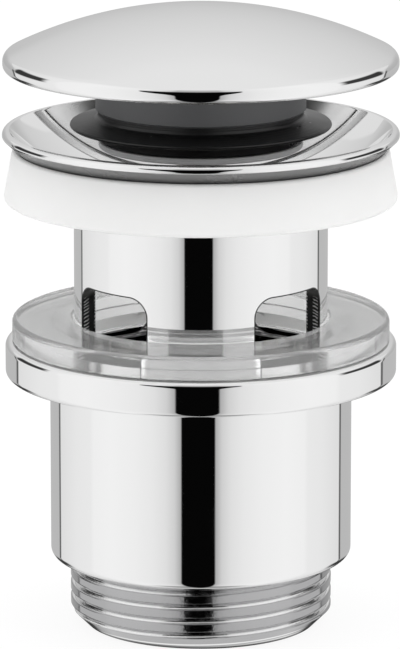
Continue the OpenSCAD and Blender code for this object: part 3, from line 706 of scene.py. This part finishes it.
spring_piece = bpy.data.objects.new("return_spring_dressed", bpy.data.meshes.new("return_spring_dressed"))
bpy.context.scene.collection.objects.link(spring_piece)
points_a_turn = 32
grow(spring_piece, spring_tree(),
     {"Radius": SPRING_R * MM, "Wire": SPRING_WIRE * MM, "Turns": float(SPRING_TURNS), "Low": SPRING_LOW * MM,
      "High": SPRING_TOP * MM, "Points": points_a_turn * SPRING_TURNS, "Material": bright_steel})
settle(spring_piece, "flange", "return_spring")
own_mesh(spring_piece)


# Plunger and gland: the plunger is turned brass, nickel plated, and slides in the gland nut in the barrel's
# mouth, past a rubber wiper ring. A steel pin pressed into its sleeve runs in the drum's track.
rubber_black = (0.009, 0.009, 0.0095)
black_rubber = moulded("black_rubber", rubber_black, change=0.35, scale=700, least=0.34, most=0.5, depth=0.03,
                       Specular_IOR_Level=0.4)
dress(satin_nickel, "plunger", "gland_nut")
dress(bright_steel, "follower_pin")
dress(black_rubber, "stem_o_ring")


# Seal retainer: a flat disc moulded in light grey plastic. It goes on the plunger's stud and holds the
# seal from below.
light_plastic = moulded("light_plastic", (0.72, 0.72, 0.725), change=0.08, scale=1200, least=0.3, most=0.42,
                        depth=0.02)
SEAL_LOW, LIP_LOW, SEAL_TOP, NECK_R = 78.55, 80.75, 83.35, 16.3
STUD_HOLE_R, RETAINER_R, RETAINER_T, RETAINER_GAP = 3.05, 16.2, 1.0, 0.05
retainer_top = SEAL_LOW - RETAINER_GAP
retainer_low = retainer_top - RETAINER_T
retainer_round, retainer_break = 0.3, 0.15
retainer_profile = [(STUD_HOLE_R, retainer_low)]
retainer_profile += arc(RETAINER_R - retainer_round, retainer_low + retainer_round, retainer_round, -90, 0, 4)
retainer_profile += arc(RETAINER_R - retainer_break, retainer_top - retainer_break, retainer_break, 0, 90, 3)
retainer_profile += [(STUD_HOLE_R, retainer_top)]
retainer_piece = turned("seal_retainer_dressed", retainer_profile)
retainer_piece.data.materials.append(light_plastic)
settle(retainer_piece, "plug", "seal_retainer")


# Plug seal: black rubber, moulded with a flared lip that closes on the dish. It is stretched over the
# carrier's core and held there by the retainer.
RING_FINE, RING_BROAD, LIP_LEAN = 0.42, 1.1, 1.4
DUST_SCALE, DUST_FROM, DUST_TONE = 520, 0.86, (0.5, 0.5, 0.5, 1)


def seal_finish():
    """The seal's rubber: turned mould rings, a slight gloss, and a few specks of dust from handling."""
    made = moulded("seal_rubber", rubber_black, change=0.35, scale=700, least=0.26, most=0.4, depth=0.03,
                   Specular_IOR_Level=0.5)
    tree = made.node_tree
    calc, ease = sums(tree)
    shader = tree.nodes["Principled BSDF"]
    skin = shader.inputs["Base Color"].links[0].from_node
    bump = shader.inputs["Normal"].links[0].from_node
    place, x, y, z = object_place(tree)
    along = calc("SUBTRACT", diagonal(calc, x, y), calc("MULTIPLY", z, LIP_LEAN))
    fine, broad = [calc("SINE", calc("MULTIPLY", along, 2 * math.pi / (length * MM)))
                   for length in (RING_FINE, RING_BROAD)]
    rings = calc("MULTIPLY_ADD", fine, 0.5, calc("MULTIPLY", broad, 0.6))
    tree.links.new(calc("MULTIPLY_ADD", rings, 0.3, skin.outputs["Height"]), bump.inputs["Height"])
    dust = tree.nodes.new("ShaderNodeTexVoronoi")
    dust.inputs["Scale"].default_value = DUST_SCALE
    tree.links.new(place, dust.inputs["Vector"])
    pick = tree.nodes.new("ShaderNodeSeparateColor")
    tree.links.new(dust.outputs["Color"], pick.inputs["Color"])
    chosen = calc("GREATER_THAN", pick.outputs["Red"], DUST_FROM)
    speck = calc("MULTIPLY", ease(dust.outputs["Distance"], 0.1, 0.05), chosen)
    tone = two_tones(tree, speck, skin.outputs["Colour"], DUST_TONE)
    tree.links.new(tone, shader.inputs["Base Color"])
    return made


SEAL_IN, seal_round, neck_step = 13.05, 0.3, 0.2
foot_r = NECK_R - neck_step
lip_under = [(foot_r, LIP_LOW - 0.5), (NECK_R, LIP_LOW - 0.25), (NECK_R + 0.5, LIP_LOW - 0.1)]
lip_over = [(NECK_R + out, LIP_LOW + up) for out, up in ((1.5, 1.15), (0.6, 1.35), (0.15, 1.6), (0, 2.0))]
seal_profile = [(SEAL_IN, SEAL_LOW)]
seal_profile += arc(foot_r - seal_round, SEAL_LOW + seal_round, seal_round, -90, 0, 4)
seal_profile += lip_under
seal_profile += arc(LIP_R - seal_round, LIP_LOW + seal_round, seal_round, -90, 80, 6)
seal_profile += lip_over
seal_profile += [(NECK_R, SEAL_TOP), (SEAL_IN, SEAL_TOP)]
seal_piece = turned("plug_seal_dressed", seal_profile, sharp=50)
seal_piece.data.materials.append(seal_finish())
settle(seal_piece, "plug", "plug_seal")


# Plug carrier: a ribbed drum moulded in grey plastic. A brass nut in its pocket clamps it, with the
# retainer, on the plunger's stud.
grey_plastic = moulded("grey_plastic", (0.14, 0.142, 0.146), change=0.12, scale=1500, least=0.42, most=0.55,
                       depth=0.03)
dress(grey_plastic, "plug_carrier")
dress(bare_brass, "carrier_nut")


# Cap disc: a flat ring of plated brass with a satin face. It is sprung into the cap's lip and closes
# the cap's hollow.
CAP_LOW = 89.85
DISC_IN, DISC_R, DISC_LOW, DISC_TOP = 17.0, 28.65, CAP_LOW + 0.3, CAP_LOW + 1.5
disc_round = 0.2
disc_profile = [(DISC_IN, DISC_LOW)]
disc_profile += arc(DISC_R - disc_round, DISC_LOW + disc_round, disc_round, -90, 0, 4)
disc_profile += [(DISC_R, DISC_TOP), (DISC_IN, DISC_TOP)]
disc_piece = turned("cap_disc_dressed", disc_profile, around=256)
satin_plate = metal("satin_plate", chrome_tone, scale=300, least=0.2, most=0.32, wave=0.1)
disc_piece.data.materials.append(satin_plate)
settle(disc_piece, "plug", "cap_disc")


# Plug cap: a dome pressed from brass and chrome plated, left as pressed inside. The threaded boss under
# its middle is screwed on the plunger's stud.
CAP_R, CAP_IN, DOME_R, CAP_BAND, CAP_WALL = 31.35, 28.75, 69.1, 2.4, 1.8
BOSS_R, BOSS_LOW, STUD_HOLE_TOP = 5.4, 90.7, 96.4
cap_edge = CAP_LOW + CAP_BAND
dome_c = cap_edge - math.sqrt(DOME_R ** 2 - CAP_R ** 2)
lip_round, low_round, top_round = 0.3, 1.0, 1.6
inner_turn = math.degrees(math.acos(CAP_IN / (DOME_R - CAP_WALL)))
boss_turn = math.degrees(math.acos(BOSS_R / (DOME_R - CAP_WALL)))
cap_profile = arc(CAP_IN + lip_round, CAP_LOW + lip_round, lip_round, 180, 270, 4)
cap_profile += arc(CAP_R - low_round, CAP_LOW + low_round, low_round, -90, 0, 12)
round_z = dome_c + math.sqrt((DOME_R - top_round) ** 2 - (CAP_R - top_round) ** 2)
round_turn = math.degrees(math.atan2(round_z - dome_c, CAP_R - top_round))
cap_profile += arc(CAP_R - top_round, round_z, top_round, 0, round_turn, 10)
cap_profile += arc(0, dome_c, DOME_R, round_turn + 0.3, 90, 60)
cap_profile[-1] = (0, dome_c + DOME_R)
cap_under = [(0, STUD_HOLE_TOP), (STUD_HOLE_R, STUD_HOLE_TOP), (STUD_HOLE_R, BOSS_LOW), (BOSS_R, BOSS_LOW)]
cap_under += arc(0, dome_c, DOME_R - CAP_WALL, boss_turn, inner_turn, 24)
cap_piece = turned("plug_cap_dressed", cap_profile + cap_under, around=256)
cap_piece.data.materials.append(chrome_plate)
as_pressed = metal("as_pressed", (0.9, 0.9, 0.895), scale=240, least=0.42, most=0.6, wave=0.25, depth=0.03)
inside = CAP_IN + 0.02
finish_where(cap_piece, as_pressed, lambda r, z, up: r < inside and up < 0.1)
finish_where(cap_piece, satin_plate, lambda r, z, up: r > inside and z < CAP_LOW + lip_round and up < -0.8)
settle(cap_piece, "plug", "plug_cap")


# Floor: a matt pale table top. It takes the part's shadow, looks white to the camera and through the
# clear gasket, and stays out of the chrome's reflections.
FLOOR_HALF, FLOOR_Z, FLOOR_GLOW, GLOW_SHARE = 4, -0.05 * MM, 1.02, 0.88


def seen_straight(tree):
    """1 for what the camera sees itself or through clear matter, 0 for reflections and light."""
    path = tree.nodes.new("ShaderNodeLightPath")
    return sums(tree)[0]("MAXIMUM", path.outputs["Is Camera Ray"], path.outputs["Is Transmission Ray"])


def floor_finish():
    """Matt pale paint that glows a little where it is seen straight."""
    made = bpy.data.materials.new("pale_floor")
    made.use_nodes = True
    tree = made.node_tree
    link = tree.links.new
    shader = tree.nodes["Principled BSDF"]
    shader.inputs["Base Color"].default_value = (0.9, 0.9, 0.9, 1)
    shader.inputs["Roughness"].default_value = 0.9
    glow = tree.nodes.new("ShaderNodeEmission")
    glow.inputs["Color"].default_value = (1, 1, 1, 1)
    glow.inputs["Strength"].default_value = FLOOR_GLOW
    blend = tree.nodes.new("ShaderNodeMixShader")
    link(sums(tree)[0]("MULTIPLY", seen_straight(tree), GLOW_SHARE), blend.inputs["Fac"])
    link(shader.outputs[0], blend.inputs[1])
    link(glow.outputs[0], blend.inputs[2])
    link(blend.outputs[0], tree.nodes["Material Output"].inputs["Surface"])
    return made


floor_mesh = bpy.data.meshes.new("floor")
floor_corners = [(FLOOR_HALF * i, FLOOR_HALF * j, FLOOR_Z) for i, j in ((-1, -1), (1, -1), (1, 1), (-1, 1))]
floor_mesh.from_pydata(floor_corners, [], [(0, 1, 2, 3)])
floor_mesh.materials.append(floor_finish())
floor = bpy.data.objects.new("floor", floor_mesh)
bpy.context.scene.collection.objects.link(floor)
floor.visible_glossy = False


# Room: white side walls, a grey back wall and the dark side where the camera stands. It is painted into
# the world, because the chrome mirrors it, and the camera itself sees plain white.
def painted_room():
    """The world's grey levels by direction, in degrees round the axis from the camera and above level."""
    made = bpy.data.worlds.new("white_room")
    made.use_nodes = True
    tree = made.node_tree
    tree.nodes.clear()
    node, link = tree.nodes.new, tree.links.new
    calc, ease = sums(tree)

    def level(share, stops):
        """A grey level that follows a share of half a turn through stops in degrees."""
        ramp = node("ShaderNodeValToRGB")
        bar = ramp.color_ramp
        while len(bar.elements) > 1:
            bar.elements.remove(bar.elements[-1])
        bar.elements[0].position = stops[0][0] / 180
        bar.elements[0].color = (*[stops[0][1]] * 3, 1)
        for at, grey in stops[1:]:
            bar.elements.new(at / 180).color = (grey, grey, grey, 1)
        link(share, ramp.inputs["Fac"])
        return ramp.outputs["Color"]

    def between(amount, first, second):
        """A plain blend of two levels."""
        rest = calc("SUBTRACT", 1, amount)
        return calc("ADD", calc("MULTIPLY", first, rest), calc("MULTIPLY", second, amount))

    def band(value, start, full, fading, end):
        """1 between full and fading, and softly 0 before start and after end."""
        return calc("MULTIPLY", ease(value, start, full), ease(value, end, fading))

    def darkened(wall, where, amount):
        """The wall with a place made darker by an amount."""
        return calc("MULTIPLY", wall, calc("MULTIPLY_ADD", where, -amount, 1))

    split = node("ShaderNodeSeparateXYZ")
    link(node("ShaderNodeTexCoord").outputs["Generated"], split.inputs[0])
    x, y, z = split.outputs
    azimuth = calc("DEGREES", calc("ARCTAN2", x, calc("MULTIPLY", y, -1)))
    height = calc("DEGREES", calc("ARCSINE", z))
    height_share = calc("DIVIDE", calc("ADD", height, 90), 180)
    aside = calc("ABSOLUTE", calc("ADD", azimuth, 2))
    # The white side walls, the grey back wall, and the narrow dark gap where they meet.
    side_stops = [(0, 0.45), (13.6, 0.45), (18, 0.66), (25, 0.78), (35, 0.85), (50, 0.9)]
    side_stops += [(70, 0.93), (88, 0.91), (92, 0.86), (108, 0.84), (130, 0.77), (180, 0.74)]
    side_wall = level(calc("DIVIDE", aside, 180), side_stops)
    back_stops = [(0, 0.85), (48, 0.85), (58, 0.5), (77, 0.5), (95, 0.58), (102, 0.62), (113, 0.675)]
    back_stops += [(121, 0.71), (134, 0.77), (145, 0.81), (153, 0.82)]
    back_wall = level(height_share, back_stops)
    corner_stops = [(0, 136), (98, 136), (105, 150), (117, 142), (129, 130), (136, 112), (150, 100)]
    corner = calc("MULTIPLY", level(height_share, [(at, turn / 180) for at, turn in corner_stops]), 180)
    past = calc("SUBTRACT", aside, corner)
    wall = between(ease(past, -1, 1.2), side_wall, back_wall)
    back_side = calc("MULTIPLY", band(aside, 126, 140, 160, 174), band(height, -8, -3, 6, 16))
    wall = darkened(wall, back_side, 0.16)
    gap = calc("MULTIPLY", ease(calc("ABSOLUTE", past), 2.6, 0.4), ease(height, 6, -2))
    wall = darkened(wall, gap, 0.85)
    # A dark stand at each side, a dark strip low at the back, and the pale ceiling.
    right_stand, left_stand = band(azimuth, 86, 94, 127, 132), band(azimuth, -138, -133, -106, -98)
    stands = calc("MULTIPLY", calc("ADD", right_stand, left_stand), band(height, -8, -3, 14, 22))
    low_back = calc("MULTIPLY", ease(aside, 118, 132), band(height, -33, -28, -22, -18))
    dark = calc("MAXIMUM", calc("MULTIPLY", stands, 0.95), calc("MULTIPLY", low_back, 0.9))
    wall = calc("MULTIPLY", wall, calc("SUBTRACT", 1, dark))
    wall = between(ease(height, 46, 60), wall, 0.82)
    # The dark side where the camera stands, wider above, and the shaded table under the part.
    widen = ease(height, -10, 30)
    off = calc("SUBTRACT", calc("ABSOLUTE", calc("ADD", azimuth, calc("MULTIPLY_ADD", widen, 4.5, 2.0))),
               calc("MULTIPLY_ADD", widen, 19, 12.6))
    camera_side = calc("MULTIPLY", ease(off, 1.0, -0.5), ease(height, 38, 28))
    wall = darkened(wall, camera_side, 0.996)
    below = calc("ADD", calc("MULTIPLY", y, -0.2), calc("MULTIPLY", z, -0.98))
    wall = calc("MULTIPLY", wall, ease(below, 0.9, 0.985, 1, 0.35))
    sky = node("ShaderNodeBackground")
    link(between(seen_straight(tree), wall, 1.0), sky.inputs["Color"])
    link(sky.outputs[0], node("ShaderNodeOutputWorld").inputs["Surface"])
    return made


bpy.context.scene.world = painted_room()


# Lamps: a large soft one above and one at each side in front, all aimed at the part's middle and kept
# out of the reflections, which the room gives.
LAMP_AIM = Vector((0, 0, 0.06))
for lamp_name, place, size, power in (("lamp_above", (0, 0.05, 1.2), 0.9, 7),
                                      ("lamp_left", (-0.9, -0.45, 0.5), 0.7, 2.0),
                                      ("lamp_right", (0.9, -0.45, 0.5), 0.7, 2.4)):
    lamp = bpy.data.lights.new(lamp_name, "AREA")
    lamp.shape, lamp.size, lamp.size_y, lamp.energy = "RECTANGLE", size, size, power
    lamp_object = bpy.data.objects.new(lamp_name, lamp)
    lamp_object.location = place
    aim = LAMP_AIM - Vector(place)
    lamp_object.rotation_euler = aim.to_track_quat("-Z", "Y").to_euler()
    lamp_object.visible_glossy = False
    bpy.context.scene.collection.objects.link(lamp_object)


# Camera: a long lens about 0.85 m in front of the part, a little above it and looking slightly down.
# Its place and lens are fitted to the ellipses of the part's rims.
LOOK_DOWN = 12.927
camera = bpy.data.cameras.new("camera")
camera.lens, camera.sensor_width = 302.17, 36
camera.clip_start, camera.clip_end = 0.01, 20
camera_object = bpy.data.objects.new("camera", camera)
camera_object.location = (-0.00014, -0.84757, 0.24296)
camera_object.rotation_euler = (math.radians(90 - LOOK_DOWN), 0, 0)
bpy.context.scene.collection.objects.link(camera_object)
bpy.context.scene.camera = camera_object
bpy.context.scene.view_settings.view_transform = "Standard"
